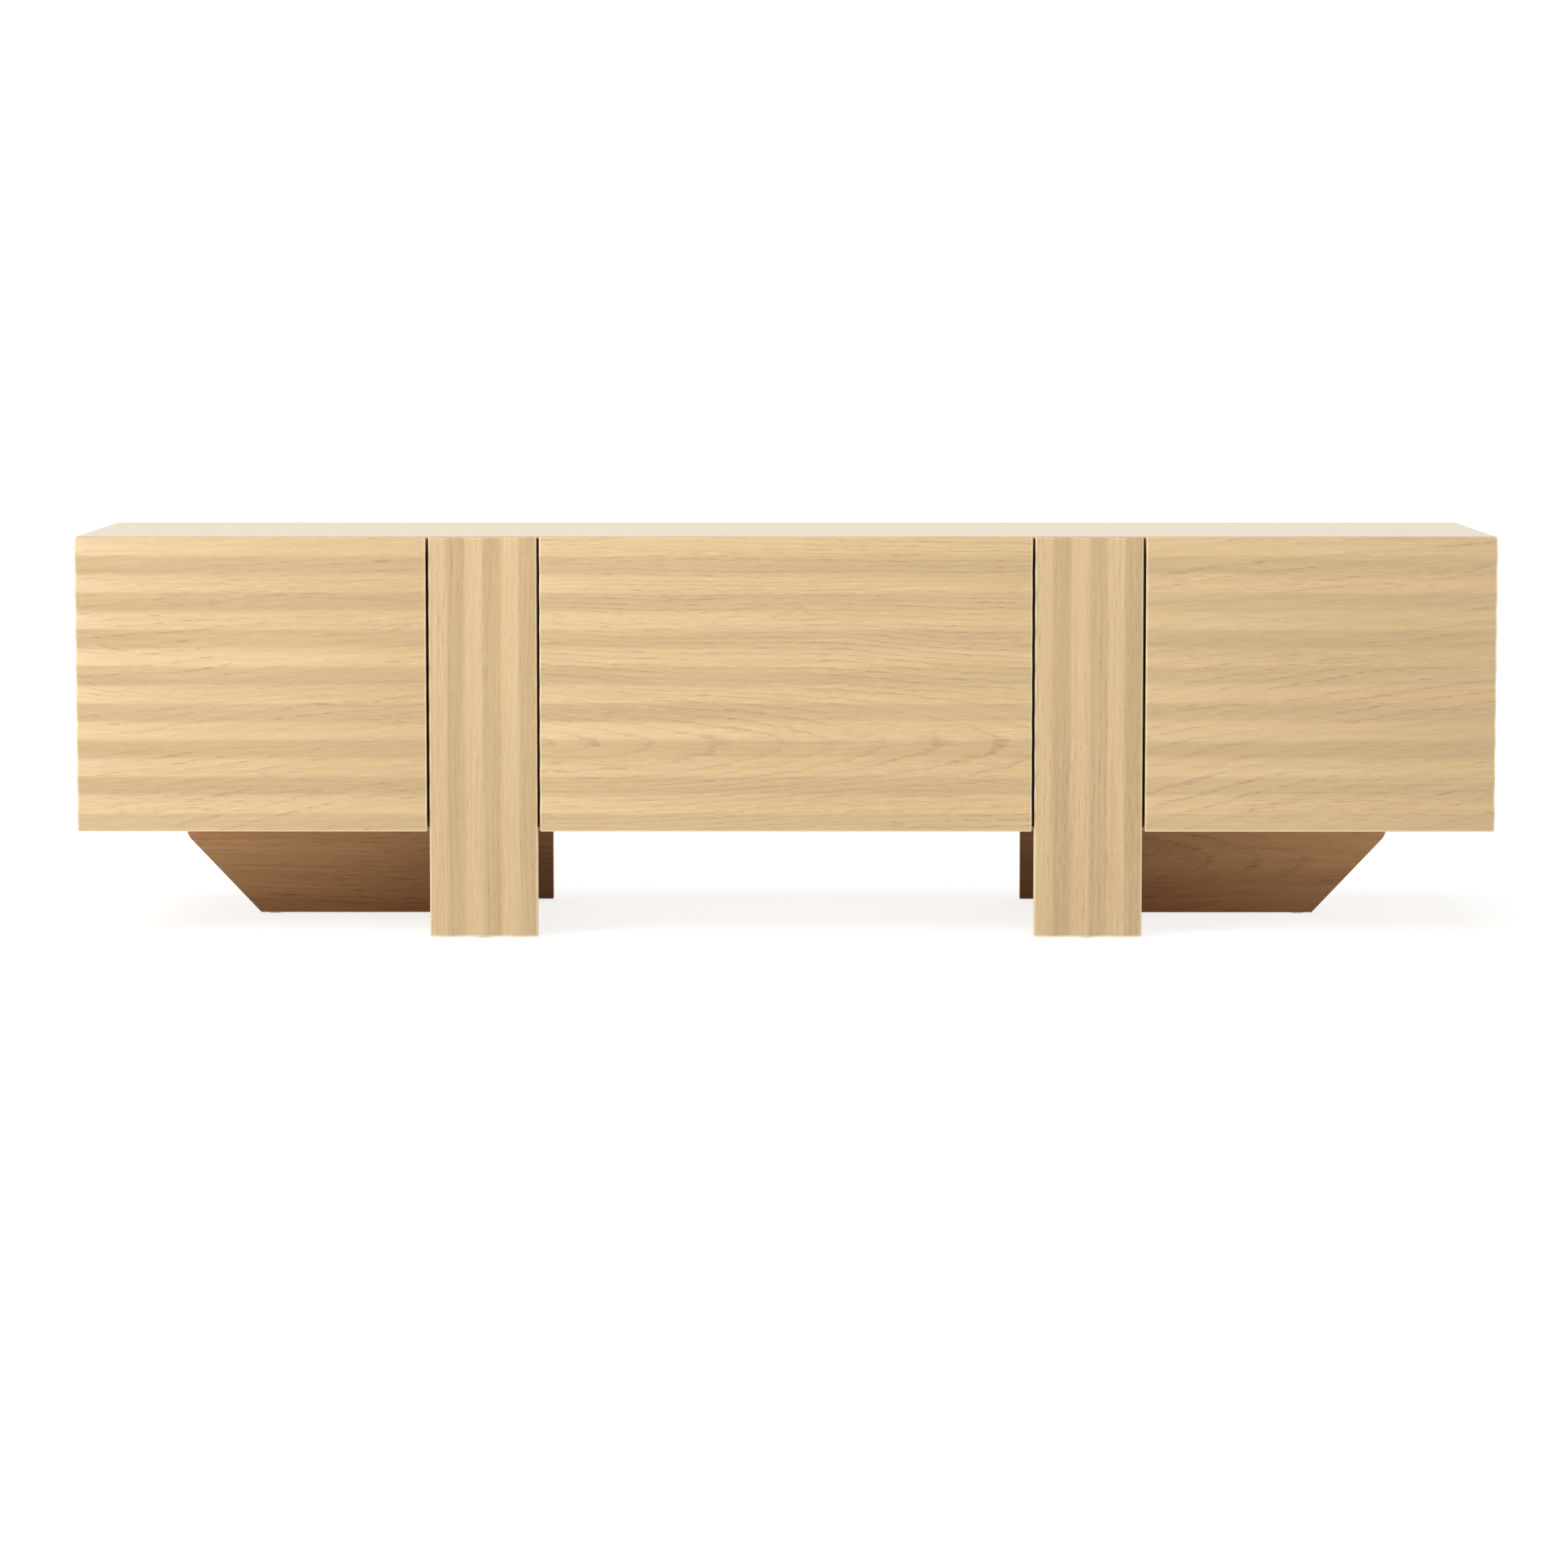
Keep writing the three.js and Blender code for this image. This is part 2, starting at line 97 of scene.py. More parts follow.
PIN_RADIUS = 2.5 * MM
PIN_REACH = 9 * MM
PIN_INSET = 45 * MM  # from a shelf's front and back edges to the pins under it
BACK_SCREW_PLACES = (0.1, 0.5, 0.9)  # as shares of the back panel's height
PLUNGER_ROUND = 1.6 * MM
HOUSING_EDGE = 0.8 * MM
GLIDE_EDGE = 0.6 * MM
GROMMET_EDGE = 0.9 * MM
GROMMET_INNER = 25 * MM
GROMMET_SLEEVE = 29.4 * MM
GROMMET_LIP = 2 * MM
# Painted shade: black strips in the gaps beside the posts keep those gaps dark.
SHADE_STRIP_REACH = 2.1 * MM  # from a post's side into the gap beside it
SHADE_STRIP_INSET = 7 * MM  # behind the crests
SHADE_STRIP_WIDTH = 9 * MM
SHADE_STRIP_ABOVE = 6 * MM  # from the fronts' lower edge to the end of a seal
SHADE_STRIP_BELOW = 2 * MM  # from the fronts' upper edge to the other end
SHADE_STRIP_EDGE = 0.4 * MM

# Stage and camera
STAGE_RADIUS = 14.0
WALL_HEIGHT = 3.6
STAGE_STEPS = 96
SENSOR_WIDTH = 36
LENS = 122.42
CAMERA_PLACE = (0.016, CAD_BOX[0].y - 6.735, 0.8155)
CAMERA_PITCH = 5.244  # degrees downwards
CAMERA_TURN = 0.156  # degrees


# ---------------------------------------------------------------- materials

class Shading:
    """Adds nodes to one material. A value is a number, a vector or another node's output."""

    def __init__(self, name):
        self.material = bpy.data.materials.new(name)
        self.material.use_nodes = True
        self.tree = self.material.node_tree
        self.tree.nodes.clear()

    def node(self, kind, inputs=None, **settings):
        made = self.tree.nodes.new(kind)
        for key, value in settings.items():
            setattr(made, key, value)
        for key, value in (inputs or {}).items():
            self.feed(made.inputs[key], value)
        return made

    def feed(self, socket, value):
        if isinstance(value, bpy.types.NodeSocket):
            self.tree.links.new(value, socket)
        elif socket.type == "RGBA":
            socket.default_value = (*value, 1.0)
        else:
            socket.default_value = value

    def math(self, operation, *values, clamp=False):
        inputs = dict(enumerate(values))
        return self.node("ShaderNodeMath", inputs, operation=operation, use_clamp=clamp).outputs[0]

    def add(self, first, second, clamp=False):
        return self.math("ADD", first, second, clamp=clamp)

    def times(self, first, second):
        return self.math("MULTIPLY", first, second)

    def times_plus(self, first, factor, extra):
        return self.math("MULTIPLY_ADD", first, factor, extra)

    def place(self):
        return self.node("ShaderNodeTexCoord").outputs["Object"]

    def vector(self, x, y, z):
        return self.node("ShaderNodeCombineXYZ", {0: x, 1: y, 2: z}).outputs[0]

    def noise(self, vector, detail=2.0, roughness=0.5):
        inputs = {"Vector": vector, "Scale": 1.0, "Detail": detail, "Roughness": roughness}
        return self.node("ShaderNodeTexNoise", inputs).outputs[0]

    def remap(self, value, low, high, to_low=0.0, to_high=1.0, smooth=True):
        kind = "SMOOTHSTEP" if smooth else "LINEAR"
        inputs = {"Value": value, "From Min": low, "From Max": high, "To Min": to_low, "To Max": to_high}
        return self.node("ShaderNodeMapRange", inputs, interpolation_type=kind).outputs[0]

    def mix(self, factor, first, second):
        made = self.node("ShaderNodeMix", data_type="RGBA")
        self.feed(made.inputs[0], factor)
        self.feed(made.inputs[6], first)
        self.feed(made.inputs[7], second)
        return made.outputs[2]

    def scaled(self, colour, factor):
        return self.node("ShaderNodeVectorMath", {0: colour, 3: factor}, operation="SCALE").outputs[0]

    def bump(self, height, distance, strength=1.0):
        inputs = {"Height": height, "Distance": distance, "Strength": strength}
        return self.node("ShaderNodeBump", inputs).outputs[0]

    def surface(self, colour, roughness, normal, **uniform):
        shader = self.node("ShaderNodeBsdfPrincipled", {"Base Color": colour, "Roughness": roughness})
        self.feed(shader.inputs["Normal"], normal)
        for name, value in uniform.items():
            self.feed(shader.inputs[name.replace("_", " ")], value)
        output = self.node("ShaderNodeOutputMaterial")
        self.tree.links.new(shader.outputs[0], output.inputs[0])
        return self.material


OAK_TONE = {
    "light": (0.596, 0.430, 0.229),
    "deep": (0.482, 0.330, 0.167),
    "pore": (0.330, 0.190, 0.095),
    "fleck": (0.720, 0.550, 0.330),
}
BASE_TONE = {
    "light": (0.577, 0.353, 0.181),
    "deep": (0.422, 0.234, 0.105),
    "pore": (0.175, 0.084, 0.034),
    "fleck": (0.640, 0.410, 0.225),
}
LACQUER_TINT = (0.95, 1.0, 0.90)  # the share of each colour that the lacquer lets through
# Painted shade on the base boards: their colour low down next to a post, as a share of that at the top
# outside
BASE_PAINTED_SHADE = (0.28, 0.175, 0.10)
PAINTED_SHADE_LEAN = 0.13  # how much the painted shade goes by the place across, against the height

# A board's figure, in metres: rings are circles about a heart line that lies at a place across the board
# and at a depth behind its face. The taper tilts that line, so rings near it close in pointed arches.
# Bold is the strength of the ring lines, and level scales the board's brightness.
FIGURE_DEFAULTS = dict(heart=0.3, depth=0.1, taper=0.03, ring=0.007, bold=0.5, level=1.0, seed=0.0)
Figure = namedtuple("Figure", FIGURE_DEFAULTS, defaults=FIGURE_DEFAULTS.values())


class Grain:
    """The coordinates of one board's wood, with the slow drift of its fibres."""

    def __init__(self, shading, axes, figure):
        self.s = shading
        self.figure = figure
        parts = shading.node("ShaderNodeSeparateXYZ", {0: shading.place()}).outputs
        self.axes = dict(zip("xyz", parts))
        self.run, self.across, self.into = (self.axes[axis] for axis in axes)
        drift = self.swing(1.5, 4.5, 3.1, 0.048)
        waver = self.swing(7.0, 28.0, 7.7, 0.009)
        self.across = shading.add(self.across, shading.add(drift, waver))

    def swing(self, per_run, per_width, shift, size):
        level = self.s.math("SUBTRACT", self.s.noise(self.stretched(per_run, per_width, shift)), 0.5)
        return self.s.times(level, size)

    def stretched(self, per_run, per_width, shift):
        """Where a pattern with so many waves a metre is read, along the grain and across it."""
        return self.s.vector(
            self.s.times(self.run, per_run),
            self.s.times_plus(self.across, per_width, self.figure.seed + shift),
            self.s.times_plus(self.into, per_width, shift),
        )

    def streaks(self, per_run, per_width, shift, detail=2.0):
        """Long marks between 0 and 1."""
        return self.s.remap(self.s.noise(self.stretched(per_run, per_width, shift), detail), 0.32, 0.68)

    def rings(self):
        """The thin porous line that starts each year's ring, and the denser late wood that ends it."""
        s, figure = self.s, self.figure
        offset = s.math("SUBTRACT", self.across, figure.heart)
        depth = s.times_plus(self.into, 0.2, s.times_plus(self.run, figure.taper, figure.depth))
        radius = s.math("SQRT", s.times_plus(offset, offset, s.times(depth, depth)))
        ragged = s.add(radius, self.swing(42.0, 110.0, 23.3, 0.0040))
        uneven = s.times(s.noise(s.vector(s.times(radius, 60.0), figure.seed, 0.0), 1.0), 1.3)
        year = s.math("FRACT", s.times_plus(ragged, 1 / figure.ring, uneven))
        line = s.times(s.remap(year, 0.0, 0.10), s.remap(year, 0.34, 0.13))
        faint = 0.10 + 0.30 * figure.bold
        patches = s.remap(s.noise(self.stretched(3.4, 18.0, 27.1)), 0.38, 0.62, faint, 1.0)
        return s.times(line, patches), s.remap(year, 0.45, 0.98)


def oak(name, axes, figure, edge_highlight=None, stain_and_shade=None, coat=0.2, shine=0.5):
    """Lacquered oak. The axes are those along the grain, across it and through the board.

    A box's corners given for the edges paint a highlight: the wood next to the board's sides and its
    lower edge is lightened, as light caught on rounded edges.
    Corners given the same way for the base make it darker stained oak, with painted shade that darkens
    it downwards and inwards.
    """
    tone = BASE_TONE if stain_and_shade else OAK_TONE
    gloss = 0.6 if stain_and_shade else 0.5
    s = Shading(name)
    grain = Grain(s, axes, figure)
    early, late = grain.rings()
    bands = grain.streaks(1.0, 34.0, 9.2)
    stripes = grain.streaks(2.6, 170.0, 13.7)
    threads = grain.streaks(8.0, 520.0, 5.9, 3.0)
    fibres = s.noise(grain.stretched(16.0, 1500.0, 21.3), 2.0, 0.6)
    patches = s.noise(grain.stretched(1.0, 3.0, 11.4))
    dashes = s.remap(s.noise(grain.stretched(46.0, 760.0, 1.3), 1.0), 0.54, 0.66)
    crowded = s.remap(s.noise(grain.stretched(2.2, 30.0, 31.9)), 0.40, 0.66, 0.06, 0.50)
    pores = s.times(dashes, s.math("MAXIMUM", early, crowded))
    rays = s.remap(s.noise(grain.stretched(38.0, 560.0, 17.0), 1.0), 0.62, 0.72)

    depth = s.times_plus(bands, 0.30, s.times(stripes, 0.24))
    depth = s.times_plus(threads, 0.30, s.times_plus(late, 0.14, depth))
    colour = s.mix(depth, tone["light"], tone["deep"])
    colour = s.mix(s.times(rays, 0.30), colour, tone["fleck"])
    colour = s.mix(s.times(early, 0.32 * figure.bold), colour, tone["pore"])
    colour = s.mix(s.times(pores, 0.66), colour, tone["pore"])
    level = figure.level
    colour = s.scaled(colour, s.remap(patches, 0.25, 0.75, 0.95 * level, 1.05 * level, smooth=False))
    # Painted highlight: the wood is lightened along the sides and the lower edge.
    if edge_highlight:
        low, high = edge_highlight
        from_left = s.math("SUBTRACT", grain.axes["x"], low.x)
        from_right = s.math("SUBTRACT", high.x, grain.axes["x"])
        from_below = s.math("SUBTRACT", grain.axes["z"], low.z)
        inset = s.math("MINIMUM", s.math("MINIMUM", from_left, from_right), from_below)
        colour = s.mix(s.remap(inset, 2.4 * MM, 1.2 * MM, 0.0, 0.75), colour, tone["fleck"])
    if stain_and_shade:
        low, high = stain_and_shade
        inner, outer = sorted((abs(low.x), abs(high.x)))
        leaning = s.times_plus(s.math("ABSOLUTE", grain.axes["x"]), PAINTED_SHADE_LEAN, grain.axes["z"])
        dark, full = low.z + PAINTED_SHADE_LEAN * inner, high.z + PAINTED_SHADE_LEAN * outer
        # Painted shade: the base is darker low down and next to the post beside it.
        painted_shade = s.mix(s.remap(leaning, dark, full, smooth=False), BASE_PAINTED_SHADE, (1.0, 1.0, 1.0))
        colour = s.node("ShaderNodeVectorMath", {0: colour, 1: painted_shade}, operation="MULTIPLY").outputs[0]

    roughness = s.times_plus(fibres, 0.10, s.times_plus(pores, 0.2, gloss - 0.05))
    height = s.times_plus(fibres, 0.25, s.times_plus(late, 0.15, s.times(pores, -1.0)))
    normal = s.bump(height, 0.10 * MM, 0.6)
    lacquer = dict(Coat_Weight=coat, Coat_Roughness=0.22, Coat_Tint=LACQUER_TINT)
    return s.surface(colour, roughness, normal, Specular_IOR_Level=shine, **lacquer)


def metal(name, colour, rough, seed=0.0):
    """Nickel plate with fine brushing and faint handling marks."""
    s = Shading(name)
    place = s.place()
    brushing = {"Vector": place, "Location": (seed, 0, 0), "Scale": (900, 900, 60)}
    grain = s.noise(s.node("ShaderNodeMapping", brushing).outputs[0], 3.0, 0.6)
    marks = s.noise(s.scaled(place, 60.0), 4.0, 0.65)
    tone = s.scaled(colour, s.remap(marks, 0.3, 0.7, 0.88, 1.04, smooth=False))
    roughness = s.times_plus(grain, 0.12, s.remap(marks, 0.35, 0.75, rough - 0.05, rough + 0.12))
    return s.surface(tone, roughness, s.bump(grain, 0.02 * MM, 0.5), Metallic=1.0)


def plastic(name, colour, rough, specular=0.5):
    """Moulded plastic with a fine spark texture."""
    s = Shading(name)
    place = s.place()
    spark = s.noise(s.scaled(place, 2600.0), 2.0, 0.6)
    cloud = s.noise(s.scaled(place, 45.0), 3.0)
    tone = s.scaled(colour, s.remap(cloud, 0.3, 0.7, 0.93, 1.05, smooth=False))
    roughness = s.times_plus(spark, 0.12, s.remap(cloud, 0.3, 0.7, rough - 0.04, rough + 0.08))
    return s.surface(tone, roughness, s.bump(spark, 0.03 * MM, 0.5), Specular_IOR_Level=specular)


def lit_white(name, albedo, glow):
    """A plain white ground that glows a little, so that shade on it stays pale."""
    s = Shading(name)
    cloud = s.noise(s.scaled(s.place(), 2.0))
    tone = s.scaled((albedo, albedo, albedo), s.remap(cloud, 0.3, 0.7, 0.99, 1.0, smooth=False))
    rough = s.remap(cloud, 0.3, 0.7, 0.9, 0.95)
    normal = s.bump(cloud, 0.01 * MM, 0.1)
    glows = dict(Emission_Color=(1.0, 1.0, 1.0), Emission_Strength=glow, Specular_IOR_Level=0.0)
    return s.surface(tone, rough, normal, **glows)


# ---------------------------------------------------------------- mesh helpers

def object_from(name, work):
    mesh = bpy.data.meshes.new(name)
    bmesh.ops.recalc_face_normals(work, faces=work.faces)
    work.to_mesh(mesh)
    work.free()
    obj = bpy.data.objects.new(name, mesh)
    bpy.context.scene.collection.objects.link(obj)
    return obj


def bevel(obj, width, segments=3, angle=40):
    made = obj.modifiers.new("edge", "BEVEL")
    made.width = width
    made.segments = segments
    made.limit_method = "ANGLE"
    made.angle_limit = math.radians(angle)
    made.use_clamp_overlap = True


def bevel_marked(obj, width, segments, marked):
    """Rounds the edges for which marked(edge's two points) holds."""
    points = [v.co for v in obj.data.vertices]
    weights = obj.data.attributes.new("bevel_weight_edge", "FLOAT", "EDGE")
    for edge, weight in zip(obj.data.edges, weights.data):
        weight.value = float(marked(*(points[i] for i in edge.vertices)))
    made = obj.modifiers.new("marked_edge", "BEVEL")
    made.width = width
    made.segments = segments
    made.limit_method = "WEIGHT"


def subtract(obj, cutter):
    made = obj.modifiers.new("cut", "BOOLEAN")
    made.operation = "DIFFERENCE"
    made.solver = "EXACT"
    made.object = cutter


def bake_modifiers(obj):
    """Replaces the mesh by what its modifiers make of it."""
    bpy.context.view_layer.update()
    evaluated = obj.evaluated_get(bpy.context.evaluated_depsgraph_get())
    final = bpy.data.meshes.new_from_object(evaluated)
    if not final.polygons:
        raise RuntimeError(obj.name + " came out empty")
    obj.modifiers.clear()
    obj.data = final
    shade(obj)


def shade(obj, sharp_angle=35):
    obj.data.polygons.foreach_set("use_smooth", [True] * len(obj.data.polygons))
    obj.data.set_sharp_from_angle(angle=math.radians(sharp_angle))


def paint(obj, material):
    obj.data.materials.clear()
    obj.data.materials.append(material)


def settle(obj, material, body, node=None):
    """Gives a new piece its material, the body that it rides on and the CAD node that it stands for."""
    paint(obj, material)
    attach(obj, body)
    if node:
        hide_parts(node)


def prism(points, start, end):
    """A solid from an outline of 3D points, run from start to end, both added to the outline."""
    work = bmesh.new()
    near = [work.verts.new(Vector(p) + start) for p in points]
    far = [work.verts.new(Vector(p) + end) for p in points]
    work.faces.new(near)
    work.faces.new(list(reversed(far)))
    for i in range(len(points)):
        j = (i + 1) % len(points)
        work.faces.new((near[i], far[i], far[j], near[j]))
    return work


def facing(axis):
    """The turn that brings +Z to an axis."""
    return Z.rotation_difference(axis).to_matrix().to_4x4()


def turned(name, profile, centre, axis, segments=96):
    """A solid turned about an axis through centre. The profile's points are (radius, along the axis)."""
    work = bmesh.new()
    verts = [work.verts.new((r, 0, h)) for r, h in profile]
    edges = [work.edges.new(pair) for pair in zip(verts, verts[1:])]
    if profile[0][0] > 0:
        edges.append(work.edges.new((verts[-1], verts[0])))
    around = dict(angle=2 * math.pi, steps=segments, axis=Z, cent=(0, 0, 0))
    bmesh.ops.spin(work, geom=verts + edges, **around)
    bmesh.ops.remove_doubles(work, verts=work.verts, dist=1e-7)
    bmesh.ops.transform(work, matrix=Matrix.Translation(centre) @ facing(axis), verts=work.verts)
    obj = object_from(name, work)
    shade(obj)
    return obj


def corner(radius, height, edge, start, steps=5):
    """A quarter round about a point of a turned profile, from a start angle in quarter turns."""
    angles = [math.pi / 2 * (start + i / steps) for i in range(steps + 1)]
    return [(radius + edge * math.cos(a), height + edge * math.sin(a)) for a in angles]


def rounded(radius, height, edge):
    """The profile of a disc that stands on 0, with a rounded upper edge."""
    return [(0.0, 0.0), (radius, 0.0), *corner(radius - edge, height - edge, edge, 0), (0.0, height)]


# ---------------------------------------------------------------- fluted fronts and posts

def wave_recess(phase):
    """How far a fluted face lies behind its crests, from phase 0, a valley, over 0.5, a crest, to 1."""
    swing = math.cos(2 * math.pi * phase)
    sharpness = VALLEY_SHARPNESS if swing > 0 else CREST_SHARPNESS
    return WAVE_DEPTH / 2 * (1 + math.asin(sharpness * swing) / math.asin(sharpness))


def fluted_line(length, waves):
    steps = waves * WAVE_STEPS
    return [(length * i / steps, wave_recess(i / WAVE_STEPS % 1)) for i in range(steps + 1)]


def pocket_cutters(hinges):
    """A cutter for the pocket of each hinge cup whose name goes on with these letters."""
    for node in sorted(n for n in NODES if n.startswith("hinge_cup_" + hinges)):
        low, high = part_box(node)
        centre = (low + high) / 2
        start = Vector((centre.x, low.y - POCKET_CLEARANCE, centre.z))
        profile = [(0, 0), (POCKET_RADIUS, 0), (POCKET_RADIUS, CUTTER_LENGTH), (0, CUTTER_LENGTH)]
        yield turned("pocket_cutter", profile, start, Y, 64)


def fluted_front(node, body, hinges, figure):
    """A door or flap: level flutes, eased edges, and a pocket for each hinge cup."""
    low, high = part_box(node)
    low.x += END_PLAY
    high.x -= END_PLAY
    line = fluted_line(high.z - low.z, FRONT_WAVES)
    outline = [(0, low.y + depth, low.z + along) for along, depth in line]
    outline += [(0, high.y, high.z), (0, high.y, low.z)]
    board = object_from("fluted_" + node, prism(outline, X * low.x, X * high.x))
    bevel(board, FRONT_EDGE)
    cutters = list(pocket_cutters(hinges))
    for cutter in cutters:
        subtract(board, cutter)
    bake_modifiers(board)
    for cutter in cutters:
        bpy.data.objects.remove(cutter)
    material = oak("oak_" + node, "xzy", figure, edge_highlight=(low, high))
    settle(board, material, body, node)


def fluted_post(side, figure):
    """A post: upright flutes, a well rounded upper front edge and eased other edges."""
    node = "post_" + side
    low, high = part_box(node)
    line = fluted_line(high.x - low.x, POST_WAVES)
    outline = [(low.x + along, low.y + depth, 0) for along, depth in line]
    outline += [(high.x, high.y, 0), (low.x, high.y, 0)]
    post = object_from("fluted_" + node, prism(outline, Z * low.z, Z * high.z))
    front = low.y + 2 * WAVE_DEPTH

    def top_front(a, b):
        return min(a.z, b.z) > high.z - MM and max(a.y, b.y) < front

    bevel_marked(post, POST_TOP_EDGE, 4, top_front)
    bevel(post, FRONT_EDGE)
    bake_modifiers(post)
    material = oak("oak_" + node, "zxy", figure, edge_highlight=(low, high))
    settle(post, material, "cabinet", node)


def build_fronts():
    drifting = Figure(heart=-0.02, depth=0.20, taper=-0.14, ring=0.009, level=0.98, seed=4.0)
    rising = Figure(heart=-0.10, depth=0.45, taper=-0.25, ring=0.013, bold=0.7, level=0.96, seed=9.0)
    arched = Figure(heart=0.25, depth=0.103, taper=0.083, ring=0.006, bold=1.0, seed=15.0)
    fluted_front("door_left", "left_door", "left", drifting)
    fluted_front("door_right", "right_door", "right", rising)
    fluted_front("flap_centre", "centre_flap", "flap", arched)
    for side, sign in SIDES.items():
        fluted_post(side, Figure(heart=sign * 0.62, level=0.915, seed=21.0 + sign))


# ---------------------------------------------------------------- boards

def dress(node, material, edge, segments=2, angle=40):
    """Keeps a CAD node, eases its edges and paints it."""
    part = NODES[node]
    bevel(part, edge, segments, angle)
    weighted = part.modifiers.new("shading", "WEIGHTED_NORMAL")
    weighted.keep_sharp = True
    shade(part, angle)
    paint(part, material)


LEVEL_BOARDS = {
    # The top panel's level of 1.19 is a painted highlight: it lightens the top, which grazing light
    # makes pale.
    "top_panel": Figure(heart=0.42, depth=0.2, taper=0.04, level=1.19, seed=31.0),
    "bottom_panel": Figure(heart=-0.5, taper=0.02, seed=33.0),
    "shelf_centre": Figure(seed=35.0),
    "shelf_left": Figure(heart=-0.4, seed=37.0),
    "shelf_right": Figure(heart=0.35, taper=-0.03, seed=39.0),
}
UPRIGHT_BOARDS = {
    "side_panel_left": Figure(heart=0.05, depth=0.05, taper=0.07, seed=41.0),
    "side_panel_right": Figure(heart=0.02, depth=0.04, taper=0.07, seed=43.0),
    "outer_divider_left": Figure(seed=45.0),
    "outer_divider_right": Figure(heart=0.32, seed=47.0),
    "inner_divider_left": Figure(heart=-0.3, seed=49.0),
    "inner_divider_right": Figure(heart=-0.32, seed=51.0),
}
BACK_BOARDS = {
    "back_panel_left": Figure(heart=0.7, taper=0.02, seed=53.0),
    "back_panel_centre": Figure(heart=0.33, depth=0.05, taper=-0.06, seed=55.0),
    "back_panel_right": Figure(heart=-0.2, taper=0.02, seed=57.0),
}
BASE_BOARDS = {
    "wing_left": Figure(seed=61.0),
    # The right wing's level of 0.91 is painted shade: it gets less of the light from the left.
    "wing_right": Figure(heart=0.07, depth=0.05, taper=0.09, level=0.91, seed=62.0),
    # The rear legs' level of 0.56 is painted shade: they stand deep in the shade under the cabinet.
    "rear_leg_left": Figure(heart=-0.2, depth=0.08, level=0.56, seed=65.0),
    "rear_leg_right": Figure(heart=-0.2, depth=0.08, level=0.56, seed=67.0),
    "spine_left": Figure(heart=0.25, depth=0.08, seed=69.0),
    "spine_right": Figure(heart=0.25, depth=0.08, seed=71.0),
}


def build_boards():
    for node, figure in LEVEL_BOARDS.items():
        coat = 0.9 if node == "top_panel" else 0.2
        dress(node, oak("oak_" + node, "xyz", figure, coat=coat), BOARD_EDGE)
    for node, figure in UPRIGHT_BOARDS.items():
        dress(node, oak("oak_" + node, "zyx", figure), BOARD_EDGE)
    for node, figure in BACK_BOARDS.items():
        dress(node, oak("oak_" + node, "xzy", figure), BOARD_EDGE)
    for node, figure in BASE_BOARDS.items():
        axes = "yzx" if node.startswith("spine") else "xzy"
        # Base boards: darker stained oak, with painted shade that darkens them downwards and inwards.
        stained = dict(stain_and_shade=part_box(node), coat=0.0, shine=0.12)
        dress(node, oak("base_" + node, axes, figure, **stained), BASE_EDGE)


# ---------------------------------------------------------------- hardware

def screw_head():
    """The mesh of a cross-head screw that looks along +Z, seated at the origin."""
    profile = rounded(SCREW_RADIUS, SCREW_HEIGHT, SCREW_ROUND)
    head = turned("screw_head", profile, -Z * SCREW_SUNK, Z, 48)
    cutters = []
    for quarter in (0.0, math.pi / 2):
        work = bmesh.new()
        bmesh.ops.create_cube(work, size=1.0)
        turn = Matrix.Rotation(quarter + SLOT_TURN, 4, "Z")
        place = Matrix.Translation(Z * SLOT_HEIGHT) @ turn @ Matrix.Diagonal((*SLOT_SIZE, 1))
        bmesh.ops.transform(work, matrix=place, verts=work.verts)
        cutters.append(object_from("screw_slot", work))
        subtract(head, cutters[-1])
    bake_modifiers(head)
    mesh = head.data
    for obj in (head, *cutters):
        bpy.data.objects.remove(obj)
    return mesh


def screws(name, places, axis, body, radius=SCREW_RADIUS):
    """Equal screws, as one piece."""
    work = bmesh.new()
    for place in places:
        before = len(work.verts)
        work.from_mesh(SCREW_HEAD)
        matrix = Matrix.Translation(place) @ facing(axis) @ Matrix.Scale(radius / SCREW_RADIUS, 4)
        bmesh.ops.transform(work, matrix=matrix, verts=list(work.verts)[before:])
    made = object_from(name, work)
    shade(made)
    settle(made, STEEL, body)


def build_hinges():
    for node in sorted(n for n in NODES if n.startswith("hinge_")):
        kind, front = node.split("_")[1:3]
        dress(node, NICKEL, METAL_EDGE, 2, 50)
        if kind == "cup":
            dress_cup(node, front)
        if kind == "arm":
            dress_arm(node, front)


def dress_cup(node, front):
    """The two screws through a cup's ears."""
    low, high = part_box(node)
    centre = (low + high) / 2
    centre.y = high.y
    along = (X if front == "flap" else Z) * CUP_EAR_SCREW
    body = "centre_flap" if front == "flap" else front + "_door"
    screws("screws_" + node.removeprefix("hinge_"), (centre - along, centre + along), Y, body)


def dress_arm(node, front):
    """Two screws in an arm's plate and two on its back. The arm stands on the board beside it."""
    low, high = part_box(node)
    middle = (low + high) / 2
    middle.y = low.y + PLATE_CENTRE
    if front == "flap":
        along, away = X, Z
        plate = middle + Z * (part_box("bottom_panel")[1].z + PLATE_THICKNESS - middle.z)
        crown = middle + Z * (high.z - middle.z)
    else:
        along, away = Z, -X * SIDES[front]
        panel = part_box("side_panel_" + front)
        face, top = (panel[1].x, high.x) if front == "left" else (panel[0].x, low.x)
        plate = middle + X * (face - middle.x) + away * PLATE_THICKNESS
        crown = middle + X * (top - middle.x)
    name = "screws_" + node.removeprefix("hinge_")
    plate_places = [plate + along * step for step in (-PLATE_SCREW, PLATE_SCREW)]
    back_places = [crown + Y * step for step in ARM_SCREWS]
    screws(name + "_plate", plate_places, away, "cabinet")
    screws(name + "_back", back_places, away, "cabinet", SMALL_SCREW_RADIUS)


